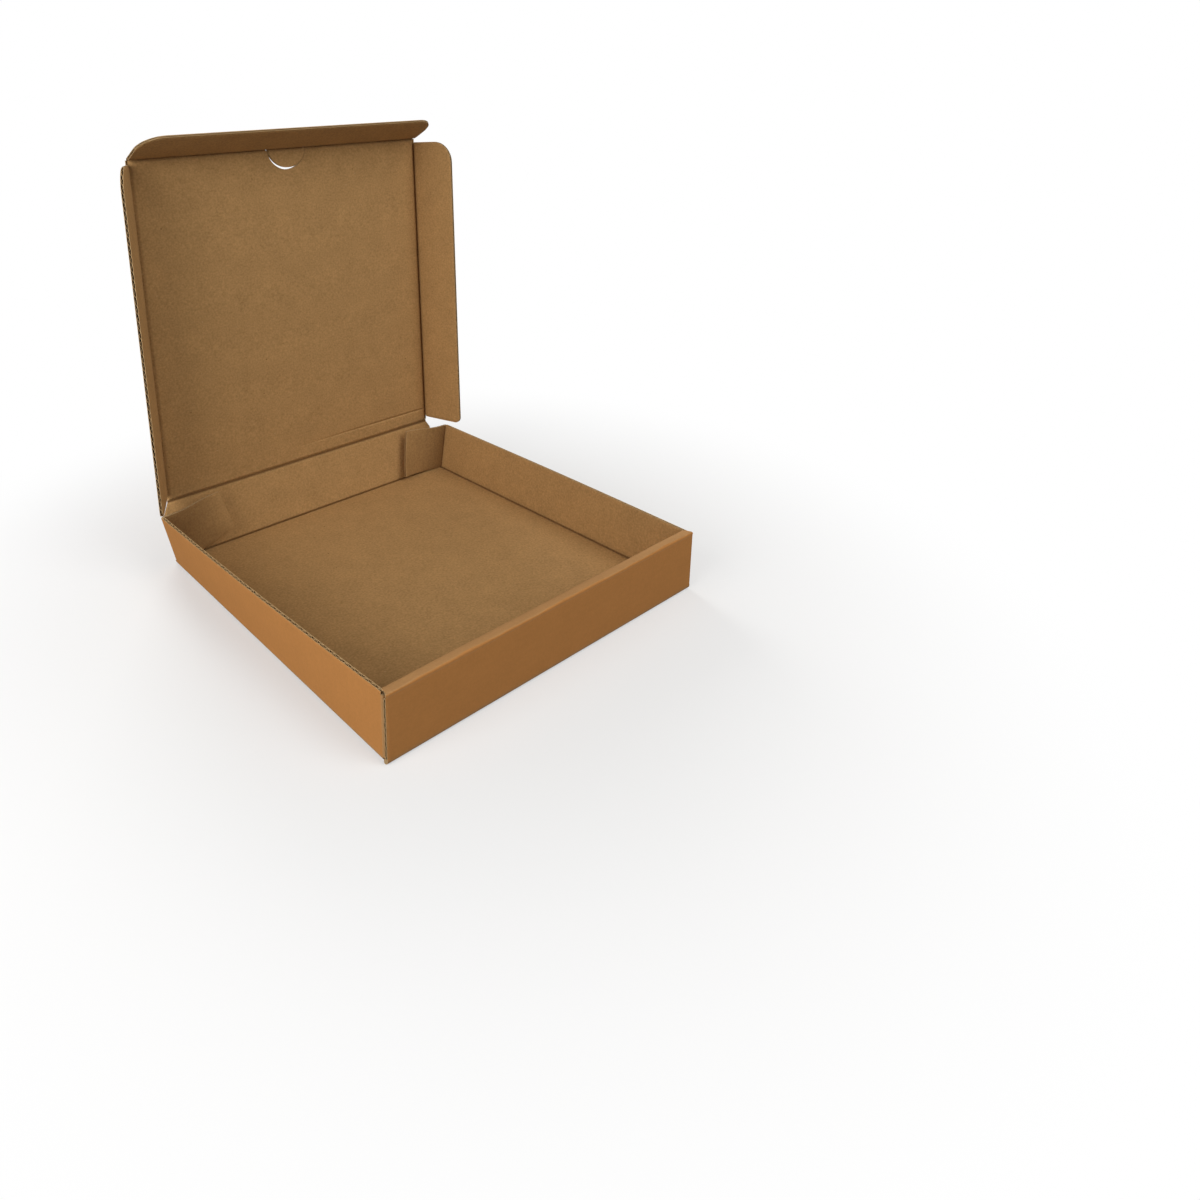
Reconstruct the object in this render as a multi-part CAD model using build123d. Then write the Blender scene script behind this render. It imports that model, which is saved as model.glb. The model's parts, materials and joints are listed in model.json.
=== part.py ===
from build123d import *
from math import cos, radians, sin, tan
import os

# Pizza box folded from one die-cut blank of corrugated board, standing open.
# Millimetres. +X is the box's right, +Y its rear, +Z up. The origin is the middle of the underside.

# Board
board = 3.0
score_gap = 0.2
clearance = 0.4

# Tray
inside_width = 300.0
inside_depth = 300.0
side_height = 50.0
front_height = 51.5
left_flare = 12.5
right_flare = 8.5
roll_gap = 2.6
dust_flap_thickness = 2.0
dust_flap_length = 46.0
corner_flap_length = 52.0
corner_flap_height = 45.5
corner_flap_top = 50.5
corner_flap_lift = 1.0
corner_relief_run = 16.0
corner_relief_drop = 12.0
lock_tab_width = 30.0
lock_tab_offset = 47.0
lock_slot_margin = 1.0

# Rear wall and lid
rear_height = 53.0
rear_lean = 19.5
upright_fold = 90.0
lid_opening = 92.1
closed_fold = 90.0
lid_front_gap = 2.4
lid_side_gap = 1.2
lid_back_fold = 54.0
panel_end_gap = 1.0

# Flaps of the lid
flap_depth = 47.0
flap_rear_setback = 7.0
flap_front_setback = 5.0
flap_front_radius = 20.0
left_flap_rear_radius = 22.0
right_flap_rear_radius = 6.0
left_flap_fold = 64.0
left_flap_closed_fold = 112.0
right_flap_fold = 77.0
right_flap_closed_fold = 106.0
tuck_depth = 42.0
tuck_corner_radius = 20.0
tuck_fold = 65.5
tuck_closed_fold = 92.5

# Half-moon thumb tab
tab_radius = 19.0
tab_slit = 1.0
tab_half_width = 17.0
tab_lift = 7.0

# Sizes that follow
mitre_margin = 1.0
front_thickness = 2 * board + roll_gap
width = inside_width + 2 * board
depth = inside_depth + board + front_thickness
half_inside = inside_width / 2
front_face = -depth / 2
rear_face = depth / 2
front_ply = front_face + board
inner_ply = front_ply + roll_gap
inner_face = inner_ply + board
corner_rear = rear_face - board - clearance
lid_half = half_inside - lid_side_gap
panel_half = lid_half - panel_end_gap
lid_hinge_y = rear_face - board / 2
lid_length = lid_hinge_y - inner_face - lid_front_gap
reach = 2 * (width + depth)
through_cut = 4 * board
bend_share = cos(radians(upright_fold / 2))


def mitre(tightest_fold):
    """Run of the crushed edge beside a score that closes to the given fold."""
    return board * tan(radians(tightest_fold / 2 + mitre_margin))


def prism_x(points):
    """Long prism along X over a profile in Y and Z."""
    return extrude(Plane.YZ * Polygon(*points, align=None), reach, both=True)


def prism_y(points):
    """Long prism along Y over a profile in X and Z."""
    return extrude(Plane.XZ * Polygon(*points, align=None), reach, both=True)


def fold_flap(outline, flap_length, tightest_fold):
    """Flap cut to an outline, its score along X at the outer face, crushed on the inside."""
    root = score_gap + mitre(tightest_fold)
    profile = [(score_gap, 0), (flap_length, 0), (flap_length, -board), (root, -board)]
    return extrude(outline, -board) & prism_x(profile)


def base_panel():
    """Floor of the tray with the two slots that hold the rolled front."""
    rear_edge = rear_face - score_gap
    rear_top = rear_edge - mitre(upright_fold)
    profile = Polygon((front_ply, 0), (rear_edge, 0), (rear_top, board), (front_ply, board), align=None)
    floor = extrude(Plane.YZ * profile, half_inside, both=True)
    slot = Box(lock_tab_width + 2 * lock_slot_margin, board + 2 * clearance, through_cut)
    for side in (-1, 1):
        floor -= Pos(side * lock_tab_offset, inner_ply + board / 2, 0) * slot
    return floor


def rolled_front():
    """Front wall, rolled over at the top and hooked into the floor by two tabs."""
    crease = front_height - board
    diagonal = board * bend_share
    foot = ThreePointArc((front_ply, 0), (front_ply - diagonal, board - diagonal), (front_face, board))
    shoulder = ThreePointArc(
        (front_face, crease), (front_ply - diagonal, crease + diagonal), (front_ply, front_height)
    )
    outer = make_face([foot, Line(foot @ 1, shoulder @ 0), shoulder, Line(shoulder @ 1, foot @ 0)])
    outer_ply = extrude(Plane.YZ * outer, width / 2, both=True)

    foot_level = board + clearance
    bend = ThreePointArc(
        (inner_ply, front_height), (inner_ply + diagonal, crease + diagonal), (inner_face, crease)
    )
    inside = Polyline(
        bend @ 1,
        (inner_face, foot_level),
        (inner_ply, foot_level),
        (inner_ply, crease),
        (front_ply, crease),
        (front_ply, front_height),
        bend @ 0,
    )
    ply = extrude(Plane.YZ * make_face([bend, inside]), half_inside - clearance, both=True)
    tab_height = foot_level + board
    tab = Box(lock_tab_width, board, tab_height, align=(Align.CENTER, Align.MIN, Align.MIN))
    for side in (-1, 1):
        ply += Pos(side * lock_tab_offset, inner_ply, clearance / 2) * tab
    return outer_ply + ply


def side_wall(side, flare):
    """Side wall, square at the front and leaning out at its loose rear end, with both end flaps."""
    dust_rear = front_ply + (roll_gap + dust_flap_thickness) / 2
    dust_front = dust_rear - dust_flap_thickness
    wall_rear = corner_rear - board
    corner = (side * half_inside, board)

    def section(lean, y):
        out = (side * cos(radians(lean)), -sin(radians(lean)))
        up = (side * sin(radians(lean)), cos(radians(lean)))
        half_turn = radians((90 + lean) / 2)
        rise = side_height - board
        start = (corner[0], 0)
        middle = (corner[0] + side * board * cos(half_turn), board - board * sin(half_turn))
        heel = (corner[0] + board * out[0], corner[1] + board * out[1])
        top_out = (heel[0] + rise * up[0], heel[1] + rise * up[1])
        top_in = (corner[0] + rise * up[0], corner[1] + rise * up[1])
        face = make_face([ThreePointArc(start, middle, heel), Polyline(heel, top_out, top_in, corner, start)])
        return Plane.XZ.offset(-y) * face

    wall = loft([section(0, dust_rear), section(flare, wall_rear)], ruled=True)

    outside = side * width / 2
    turn = outside - side * dust_flap_thickness
    diagonal = dust_flap_thickness * bend_share
    middle = (turn + side * diagonal, dust_rear - diagonal)
    bend = ThreePointArc((outside, dust_rear), middle, (turn, dust_front))
    dust_end = side * (half_inside - dust_flap_length)
    dust = make_face([bend, Polyline(bend @ 1, (dust_end, dust_front), (dust_end, dust_rear), bend @ 0)])
    dust_foot = board + clearance
    wall += Pos(0, 0, dust_foot) * extrude(dust, front_height - board - clearance - dust_foot)

    along = Vector(-side * cos(radians(flare)), 0, sin(radians(flare)))
    up = Vector(side * sin(radians(flare)), 0, cos(radians(flare)))
    root = Vector(corner[0], wall_rear, corner[1]) + up * corner_flap_lift
    free_top = (corner_flap_top - root.Z - corner_flap_length * along.Z) / up.Z
    slope = (free_top - corner_flap_height) / corner_flap_length
    crease_height = corner_flap_height - corner_relief_drop
    flap_outline = Polygon(
        (0, 0),
        (corner_flap_length, 0),
        (corner_flap_length, free_top),
        (corner_relief_run, corner_flap_height + slope * corner_relief_run),
        (0, crease_height),
        align=None,
    )
    flap_plane = Plane(origin=root, x_dir=along, z_dir=along.cross(up))
    wall += extrude(flap_plane * flap_outline, board, dir=(0, 1, 0))
    crease = make_face([CenterArc((0, 0), board, 0, 90), Line((0, board), (0, 0)), Line((0, 0), (board, 0))])
    crease_plane = Plane(origin=root, x_dir=-along if side > 0 else (0, 1, 0), z_dir=up)
    return wall + extrude(crease_plane * crease, crease_height)


def tray():
    """Floor, side walls and rolled front: the part of the blank that never moves in use."""
    return base_panel() + rolled_front() + side_wall(-1, left_flare) + side_wall(1, right_flare)


def rear_wall():
    """Rear wall, scored to the floor at its foot and to the lid at its top."""
    hinge = rear_height - score_gap
    profile = [
        (score_gap, 0),
        (hinge - mitre(lid_back_fold) / 2, 0),
        (hinge, -board / 2),
        (hinge - mitre(closed_fold) / 2, -board),
        (score_gap + mitre(upright_fold), -board),
    ]
    return extrude(Plane.YZ * Polygon(*profile, align=None), panel_half, both=True)


def lid_panel():
    """Lid with crushed edges along its four scores and the half-moon cut at the front."""
    front = lid_length - score_gap
    lengthwise = [
        (score_gap, 0),
        (score_gap + mitre(lid_back_fold) / 2, board / 2),
        (front, board / 2),
        (front - mitre(tuck_closed_fold), -board / 2),
        (score_gap + mitre(closed_fold) / 2, -board / 2),
    ]
    edge = lid_half - score_gap
    crosswise = [
        (-edge, board / 2),
        (edge, board / 2),
        (edge - mitre(left_flap_closed_fold), -board / 2),
        (-edge + mitre(right_flap_closed_fold), -board / 2),
    ]
    half_moon = Cylinder(tab_radius + tab_slit, through_cut)
    return (prism_x(lengthwise) & prism_y(crosswise)) - Pos(0, lid_length, 0) * half_moon


def lid_flap(side, tightest_fold, rear_radius):
    """Side flap of the lid, well rounded at the front and eased at the hinge."""
    length = lid_length - flap_rear_setback - flap_front_setback
    middle = side * (flap_rear_setback + length / 2)
    outline = Pos(middle, flap_depth / 2) * Rectangle(length, flap_depth)
    for end, radius in ((-1, flap_front_radius), (0, rear_radius)):
        outer_corners = sorted(outline.vertices().group_by(Axis.Y)[-1], key=lambda v: abs(v.X))
        outline = fillet(outer_corners[end], radius)
    return fold_flap(outline, flap_depth, tightest_fold)


def tuck_flap():
    """Front flap of the lid, rounded at both ends."""
    outline = Pos(0, tuck_depth / 2) * Rectangle(2 * panel_half, tuck_depth)
    outer_corners = outline.vertices().group_by(Axis.Y)[-1]
    return fold_flap(fillet(outer_corners, tuck_corner_radius), tuck_depth, tuck_closed_fold)


def thumb_tab():
    """Half-moon cut out of the lid, which hangs on the tuck flap's score."""
    strip = Rectangle(2 * tab_half_width, tab_radius, align=(Align.CENTER, Align.MIN))
    return Rot(Z=180) * fold_flap(Circle(tab_radius) & strip, tab_radius, tuck_fold)


# Each panel is drawn flat on its score and folded from the one before it.
# In these frames X points to the box's left, Y away from the score and Z out of the box.
floor_frame = Rot(Y=180)
rear_frame = floor_frame * Pos(Y=rear_face) * Rot(X=rear_lean - upright_fold)
lid_frame = rear_frame * Pos(0, rear_height, -board / 2) * Rot(X=lid_opening - rear_lean - closed_fold)
front_score = lid_frame * Pos(0, lid_length, board / 2)
left_score = lid_frame * Pos(lid_half, 0, board / 2) * Rot(Z=-90)
right_score = lid_frame * Pos(-lid_half, 0, board / 2) * Rot(Z=90)

left_flap = lid_flap(-1, left_flap_closed_fold, left_flap_rear_radius)
right_flap = lid_flap(1, right_flap_closed_fold, right_flap_rear_radius)
nodes = {
    "tray": tray(),
    "rear_wall": rear_frame * rear_wall(),
    "lid_panel": lid_frame * lid_panel(),
    "lid_left_flap": left_score * Rot(X=-left_flap_fold) * left_flap,
    "lid_right_flap": right_score * Rot(X=-right_flap_fold) * right_flap,
    "tuck_flap": front_score * Rot(X=-tuck_fold) * tuck_flap(),
    "thumb_tab": front_score * Rot(X=-tab_lift) * thumb_tab(),
}

os.makedirs("parts", exist_ok=True)
for name, solid in nodes.items():
    export_step(solid, f"parts/{name}.step")
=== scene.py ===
"""Open pizza box of single-wall corrugated board, dressed around its CAD frame.

The box is one die-cut blank. Every panel is drawn as its three papers: an outer liner, an inner liner and the
fluted paper between them, crushed thin along each crease. Metres, in the CAD frame: +X is the box's right,
+Y its rear, +Z up.
"""

import json
import math

import bpy
import numpy as np
from bpy.props import FloatProperty, FloatVectorProperty, PointerProperty
from mathutils import Matrix


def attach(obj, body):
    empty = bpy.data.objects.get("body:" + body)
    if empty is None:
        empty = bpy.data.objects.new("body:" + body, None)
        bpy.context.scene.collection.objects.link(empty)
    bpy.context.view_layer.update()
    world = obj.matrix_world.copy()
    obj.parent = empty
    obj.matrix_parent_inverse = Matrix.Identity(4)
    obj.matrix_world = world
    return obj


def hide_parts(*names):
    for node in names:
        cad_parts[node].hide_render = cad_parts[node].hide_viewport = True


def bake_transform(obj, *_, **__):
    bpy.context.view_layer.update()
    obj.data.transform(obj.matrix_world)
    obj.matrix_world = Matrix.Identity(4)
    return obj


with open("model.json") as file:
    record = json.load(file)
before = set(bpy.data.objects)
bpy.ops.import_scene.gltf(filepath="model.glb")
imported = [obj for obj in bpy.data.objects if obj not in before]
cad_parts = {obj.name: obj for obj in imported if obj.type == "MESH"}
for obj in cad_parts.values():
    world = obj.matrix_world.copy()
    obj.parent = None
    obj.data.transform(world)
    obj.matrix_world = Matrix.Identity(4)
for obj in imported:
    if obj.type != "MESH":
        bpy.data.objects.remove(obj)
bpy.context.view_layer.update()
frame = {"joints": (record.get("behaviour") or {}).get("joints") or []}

bl_info = {
    "name": "Open Pizza Box",
    "version": (1, 0, 0),
    "blender": (4, 5, 0),
    "location": "3D View > Sidebar > Pizza Box",
    "description": "Builds a folding pizza box of corrugated board around its CAD frame",
    "category": "Object",
}

MM = 0.001
JOINTS = {joint["name"]: joint for joint in frame["joints"]}
X_AXIS, Y_AXIS, Z_AXIS = np.eye(3)

# Spacing of the points along a panel and along a bent strip.
PANEL_STEP, STRIP_STEP = 9 * MM, 12 * MM

# Angle between two faces from which their edge is shaded sharp.
SHARP_FROM = math.radians(40)

# How strongly a crease is marked with painted shade on the inner papers, where 1 is a full line: the usual
# crease, and the fold at a wall's foot.
CREASE_MARK, FOOT_MARK = 0.85, 0.5

# Faces of a sheet take one of these finishes.
OUTER, INNER, FLUTE = 0, 1, 2


def linear(code):
    """Linear RGB of an sRGB hex colour."""
    channels = [int(code[i : i + 2], 16) / 255 for i in (1, 3, 5)]
    return [c / 12.92 if c <= 0.04045 else ((c + 0.055) / 1.055) ** 2.4 for c in channels]


WHITE = (*linear("#FFFFFF"), 1)


def length(name, description, millimetres):
    """A length setting, given in millimetres and kept in metres."""
    return FloatProperty(
        name=name, description=description, default=millimetres * MM, unit="LENGTH", precision=5
    )


def angle(name, description, degrees):
    """An angle setting, given in degrees and kept in radians."""
    return FloatProperty(name=name, description=description, default=math.radians(degrees), subtype="ANGLE")


def colour(name, description, code):
    """A colour setting, given as an sRGB hex value."""
    return FloatVectorProperty(
        name=name, description=description, default=linear(code), subtype="COLOR", size=3, min=0, max=1
    )


class BoardSettings(bpy.types.PropertyGroup):
    """Make-up of the corrugated board."""

    thickness: length("Thickness", "Board thickness, liner to liner", 3.0)
    liner: length("Liner", "Thickness drawn for each liner", 0.36)
    medium: length("Fluting paper", "Thickness drawn for the fluted paper", 0.3)
    pitch: length("Flute pitch", "Distance from one flute to the next", 6.7)
    crushed: length("Crushed board", "Thickness left at a crease", 0.55)
    crease: length("Crease half width", "Half the width of a bent strip", 1.0)
    crush_run: length("Crush run", "Run of the thinning to a crease", 3.0)
    foot_run: length("Foot crush run", "Run of the thinning to the rear wall's foot", 2.5)
    hinge_run: length("Hinge crush run", "Run of the thinning to the lid's hinge", 1.7)
    tight_run: length("Tight crush run", "Run of the thinning to a crease folded past square", 4.3)
    cut_crush: length("Cut crush", "Thinning of each face at a cut along the flutes", 0.55)
    end_crush: length("End crush", "Thinning of each face at a cut across the flutes", 0.28)
    cut_run: length("Cut crush run", "Run of the thinning to a cut along the flutes", 3.0)
    end_run: length("End crush run", "Run of the thinning to a cut across the flutes", 2.0)
    soft_crush: length("Soft crush", "Thinning of each face at a cut that was hardly pressed", 0.2)
    fold_dip: length("Fold dip", "Dip of the inner face at a soft fold of the tray", 0.3)


class TraySettings(bpy.types.PropertyGroup):
    """Sizes of the tray."""

    half_inside: length("Half inside width", "Half the clear width between the side walls", 150.0)
    front_face: length("Front face", "Y of the front wall's outer face", -155.8)
    rear_face: length("Rear face", "Y of the rear wall's foot", 155.8)
    side_rise: length("Side rise", "Height of the side walls above the floor's upper face", 47.0)
    front_height: length("Front height", "Height of the rolled front", 51.5)
    roll_gap: length("Roll gap", "Space between the two plies of the rolled front", 2.6)
    left_flare: angle("Left flare", "Lean of the left wall at its rear end", 12.5)
    right_flare: angle("Right flare", "Lean of the right wall at its rear end", 8.5)
    wall_bow: length("Wall bow", "How far the side walls belly out at mid length", 1.6)
    corner_height: length("Corner flap height", "Height of a corner flap along its crease", 45.5)
    corner_top: length("Corner flap top", "Height of the corner flap's free end above the table", 50.5)
    corner_lift: length("Corner flap lift", "Gap under a corner flap at its crease", 1.0)
    clearance: length("Clearance", "Gap between panels that lie against each other", 0.4)
    dust_thickness: length("Dust flap thickness", "Thickness of a dust flap pressed inside the roll", 2.0)
    dust_length: length("Dust flap length", "Length of the front dust flaps", 46.0)
    lock_offset: length("Lock tab offset", "Distance of the lock tabs from the middle", 47.0)
    lock_half: length("Lock tab half width", "Half the width of a lock tab", 15.0)
    lock_margin: length("Lock slot margin", "Play on each side of a lock tab in its slot", 1.0)


class LidSettings(bpy.types.PropertyGroup):
    """Sizes and resting folds of the rear wall, lid and flaps."""

    rear_height: length("Rear height", "Height of the rear wall along its slope", 53.0)
    rear_lean: angle("Rear lean", "Lean of the rear wall from upright", 19.5)
    lid_length: length("Lid length", "Lid from hinge to front crease", 299.1)
    rear_left: length("Rear wall left", "Reach of the rear wall to the left", 153.5)
    rear_right: length("Rear wall right", "Reach of the rear wall to the right", 150.5)
    panel_half: length("Panel half width", "Half the width of the hinge and tuck flap", 147.8)
    flap_depth: length("Flap depth", "Depth of the lid's side flaps", 47.0)
    flap_rear: length("Flap rear setback", "Gap from the hinge to the side flaps", 5.4)
    flap_front: length("Flap front setback", "Gap from the front crease to the side flaps", 5.0)
    flap_radius: length("Flap corner radius", "Radius of the flaps' front corners", 20.0)
    rear_radius: length("Rear corner radius", "Radius of the side flaps' rear corners", 6.0)
    left_fold: angle("Left fold", "Resting fold of the left flap", 64.0)
    right_fold: angle("Right fold", "Resting fold of the right flap", 77.0)
    tuck_depth: length("Tuck depth", "Depth of the tuck flap", 42.0)
    tuck_fold: angle("Tuck fold", "Resting fold of the tuck flap", 65.5)
    moon_radius: length("Thumb cut radius", "Radius of the half-moon cut in the lid", 20.0)
    tab_half: length("Thumb tab half width", "Half the width of the half-moon tab at its crease", 19.4)
    tab_depth: length("Thumb tab depth", "Depth of the half-moon tab", 18.4)
    tab_slant: length("Thumb tab slant", "How far the tab's tip sits to the right of its cut's middle", 1.2)
    tab_lift: angle("Thumb tab lift", "Resting lift of the tab out of the lid, negative to the inside", -2.0)
    tab_trim: length("Thumb tab trim", "Trim of the tab's ends, where its outline runs out to nothing", 0.1)


class FinishSettings(bpy.types.PropertyGroup):
    """Colours of the papers and the stage."""

    outer: colour("Outer liner", "Smooth kraft liner on the outside", "#C28549")
    inner: colour("Inner liner", "Recycled liner on the inside", "#AD8655")
    fluting: colour("Fluting", "Fluted paper and cut edges", "#C2A173")
    fleck: colour("Flecks", "Dark flecks in the recycled liner", "#4A3216")
    fibre: colour("Pale fibres", "Short pale fibres in the recycled liner", "#C9A877")
    # Paler kraft mixed into the outer liner along the crease mark and over the top of the rolled front.
    fold_tint: colour("Worn fold", "Paler kraft where a fold has stretched the paper", "#B78F60")
    # Painted crease shade: this dark brown is mixed into the inner liner and fluting along the crease mark.
    shaded: colour("Crease", "Brown of a crushed crease", "#4A2E10")
    floor: colour("Floor", "Studio floor", "#F4F3F1")
    bounce: FloatProperty(
        name="Floor bounce",
        description="Share of light that the floor throws back",
        default=0.16,
        min=0,
        max=1,
        subtype="FACTOR",
    )


class PizzaBoxSettings(bpy.types.PropertyGroup):
    """All settings of the pizza box."""

    board: PointerProperty(name="Board", description="Make-up of the corrugated board", type=BoardSettings)
    tray: PointerProperty(name="Tray", description="Sizes of the tray", type=TraySettings)
    lid: PointerProperty(name="Lid", description="Sizes and resting folds of the lid", type=LidSettings)
    finish: PointerProperty(name="Finish", description="Colours of papers and stage", type=FinishSettings)


def groups():
    """Settings of the board, the tray and the lid."""
    settings = bpy.context.scene.pizza_box
    return settings.board, settings.tray, settings.lid


def ease(x):
    """Smooth step 3x^2 - 2x^3, held at 0 below x = 0 and at 1 above x = 1."""
    x = np.clip(x, 0, 1)
    return x * x * (3 - 2 * x)


def stops(low, high, step):
    """Positions from low to high, close together over the crush at both ends and step apart between."""
    close = np.array([0, 0.4, 0.8, 1.3, 1.8, 2.3, 3.0, 4.5]) * MM
    between = np.linspace(low + close[-1], high - close[-1], max(2, round((high - low) / step)))
    return np.concatenate([low + close[:-1], between, high - close[-2::-1]])


def outline(columns, rows, low, high):
    """Grid whose column at u runs from low(u) to high(u): v = low + row (high - low)."""
    bottom, top = low(columns), high(columns)
    u = np.broadcast_to(columns, (len(rows), len(columns)))
    return u, bottom + rows[:, None] * (top - bottom)


def level(value):
    """A straight edge of a panel, as a function of the position along it."""
    return lambda u: np.full_like(u, value)


def rounded(low, high, depth, low_radius, high_radius):
    """Free edge at the given depth with quarter-circle corners: depth - r + sqrt(r^2 - (r - x)^2)."""

    def edge(u):
        to_low = np.clip(1 - (u - low) / low_radius, 0, 1)
        to_high = np.clip(1 - (high - u) / high_radius, 0, 1)
        cut = low_radius * (1 - np.sqrt(1 - to_low**2)) + high_radius * (1 - np.sqrt(1 - to_high**2))
        return depth - cut

    return edge


def arc_columns(end, radius, side):
    """Columns that follow a rounded corner evenly: end + side radius (1 - cos t)."""
    return end + side * radius * (1 - np.cos(np.linspace(0, math.pi / 2, 12)))


def flat(origin, along, away, out, bow=None):
    """Placing of a plane panel: origin + u along + v away + (n + bow) out."""

    def place(u, v, n):
        lift = n if bow is None else n + bow(u, v)
        return origin + u[..., None] * along + v[..., None] * away + lift[..., None] * out

    return place


def slab(upper, lower, uv, finishes=(OUTER, INNER, FLUTE), crease=None):
    """Closed sheet between two equal point grids; finishes are of its upper face, lower face and rim."""
    rows, columns = upper.shape[:2]
    count = rows * columns
    index = np.arange(count).reshape(rows, columns)
    top = np.stack([index[:-1, :-1], index[:-1, 1:], index[1:, 1:], index[1:, :-1]], -1).reshape(-1, 4)
    loop = np.concatenate([index[0, :-1], index[:-1, -1], index[-1, :0:-1], index[:0:-1, 0]])
    following = np.roll(loop, -1)
    rim = np.stack([loop, loop + count, following + count, following], -1)
    quads = np.concatenate([top, top[:, ::-1] + count, rim])
    turned = np.cross(upper[:-1, 1:] - upper[:-1, :-1], upper[1:, :-1] - upper[:-1, :-1])
    if np.sum(turned * (upper - lower)[:-1, :-1]) < 0:
        quads = quads[:, ::-1]
    mark = np.zeros(count) if crease is None else crease.ravel()
    return {
        "points": np.concatenate([upper.reshape(-1, 3), lower.reshape(-1, 3)]),
        "quads": quads,
        "uv": np.concatenate([uv.reshape(-1, 2)] * 2),
        "crease": np.concatenate([mark, mark]),
        "finish": np.repeat(finishes, [len(top), len(top), len(rim)]),
    }


def faces_of(u, v, edges, thickness):
    """Levels of the outer and inner face, and how near a crease lies.

    Each edge is (distance, outer thinning, inner thinning, run, crease). The thinning fades by the smooth
    step over the run, the crease mark over its line, and where edges meet the larger one holds. The mark
    becomes painted shade on the inner papers and paler kraft on the outer liner.
    """
    line = 1.4 * MM
    outer, inner, crease = np.zeros_like(v), np.full_like(v, -thickness), np.zeros_like(v)
    for distance, outer_cut, inner_cut, run, mark in edges:
        away = distance(u, v)
        fade = 1 - ease(away / run)
        outer = np.minimum(outer, -outer_cut * fade)
        inner = np.maximum(inner, -thickness + inner_cut * fade)
        crease = np.maximum(crease, mark * (1 - ease(away / line)))
    return outer, inner, crease


def scored(distance, run, mark=CREASE_MARK):
    """Edge at a crease pressed in from the inside: the inner face thins until the crushed board is left."""
    stock = groups()[0]
    return distance, 0, stock.thickness - stock.crushed, run, mark


def pinched(distance):
    """Edge at the lid's hinge, pressed in alike from both faces."""
    stock = groups()[0]
    thinning = (stock.thickness - stock.crushed) / 2
    return distance, thinning, thinning, stock.hinge_run, CREASE_MARK


def dipped(distance, mark):
    """Edge at a soft fold of the tray, where only the inner face dips."""
    stock = groups()[0]
    return distance, 0, stock.fold_dip, stock.end_run, mark


def trimmed(distance, crush, run):
    """Edge at a cut, where both faces thin alike and no crease is marked."""
    return distance, crush, crush, run, 0


def board(place, u_range, low, high, flutes, edges, extra=(), dent=None, extra_rows=()):
    """One panel of corrugated board: two liners and the fluted paper between them.

    The fluted paper is middle + swing sin(2 pi a / pitch), with a the distance across the flutes, which run
    along u or v. Low and high are the panel's edges in v as functions of u.
    """
    settings = bpy.context.scene.pizza_box.board
    flute_points, probe = 10, np.linspace(*u_range, 50)
    span = float(np.max(high(probe) - low(probe)))
    columns = np.unique(np.round(np.concatenate([stops(*u_range, PANEL_STEP), *extra]), 6))
    rows = np.unique(np.concatenate([stops(0, span, PANEL_STEP), *extra_rows])) / span
    sheets = []
    for kind in ("liner", "fluting"):
        if kind == "fluting" and flutes == "u":
            rows = np.linspace(0, 1, max(8, round(span / settings.pitch * flute_points)))
        if kind == "fluting" and flutes == "v":
            width = u_range[1] - u_range[0]
            fine = np.linspace(*u_range, max(8, round(width / settings.pitch * flute_points)))
            columns = np.unique(np.round(np.concatenate([fine, *extra]), 6))
        u, v = outline(columns, rows, low, high)
        outer, inner, crease = faces_of(u, v, edges, settings.thickness)
        if dent is not None:
            inner = inner + dent(u, v) * (outer - inner) / settings.thickness
        uv = np.stack([v, u] if flutes == "u" else [u, v], -1)
        if kind == "liner":
            under, over = outer - settings.liner, inner + settings.liner
            sheets.append(slab(place(u, v, outer), place(u, v, under), uv, (OUTER, FLUTE, FLUTE), crease))
            sheets.append(slab(place(u, v, over), place(u, v, inner), uv, (FLUTE, INNER, FLUTE), crease))
        else:
            half = settings.medium / 2
            swing = np.maximum((outer - inner) / 2 - settings.liner - half, 0)
            centre = (outer + inner) / 2 + swing * np.sin(2 * math.pi * uv[..., 0] / settings.pitch)
            sheets.append(slab(place(u, v, centre + half), place(u, v, centre - half), uv, (FLUTE,) * 3))
    return sheets


def plain(place, across, away, thickness):
    """Plain sheet of the board's thickness over a grid of positions."""
    u, v = np.meshgrid(across, away)
    outer = np.zeros_like(u)
    return slab(place(u, v, outer), place(u, v, outer - thickness), np.stack([v, u], -1))


def bend(outer, inner, run, across_flutes=True):
    """Bent strip: each face is the curve a (1-t)^2 + 2 b t (1-t) + c t^2 across, carried along the crease.

    Run is its width in the paper's pattern. Its crease mark, painted shade on the inner papers, is full in
    the middle and falls to the panels' own mark at both sides.
    """
    t = np.linspace(0, 1, 11)[:, None, None]
    upper, lower = (a * (1 - t) ** 2 + 2 * b * t * (1 - t) + c * t**2 for a, b, c in (outer, inner))
    across = np.broadcast_to(t[..., 0] * run, upper.shape[:2])
    along = np.broadcast_to(np.linalg.norm(outer[0] - outer[0][:1], axis=-1), upper.shape[:2])
    crease = np.broadcast_to(1 - (1 - CREASE_MARK) * (2 * t[..., 0] - 1) ** 2, upper.shape[:2])
    uv = np.stack([across, along] if across_flutes else [along, across], -1)
    return slab(upper, lower, uv, crease=crease)


def fold(origin, along, u, panel_a, panel_b, top, bottom, across_flutes=True):
    """Bent strip over a straight crease between two panels, each given as (away from the crease, out)."""
    settings = bpy.context.scene.pizza_box.board
    base = origin + u[:, None] * along
    (away_a, out_a), (away_b, out_b) = panel_a, panel_b
    corner = (out_a + out_b) / (1 + out_a @ out_b)
    half, pinch = settings.crease, 0.75
    outer, inner = (
        (base + half * away_a + h * out_a, base + h * k * corner, base + half * away_b + h * out_b)
        for h, k in ((top, 1.0), (bottom, pinch))
    )
    return bend(outer, inner, 2 * half, across_flutes)


def put(name, data, pose=None):
    """New object in the scene, at the origin unless a pose is given."""
    made = bpy.data.objects.new(name, data)
    bpy.context.scene.collection.objects.link(made)
    if pose is not None:
        made.matrix_world = pose
    return made


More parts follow.
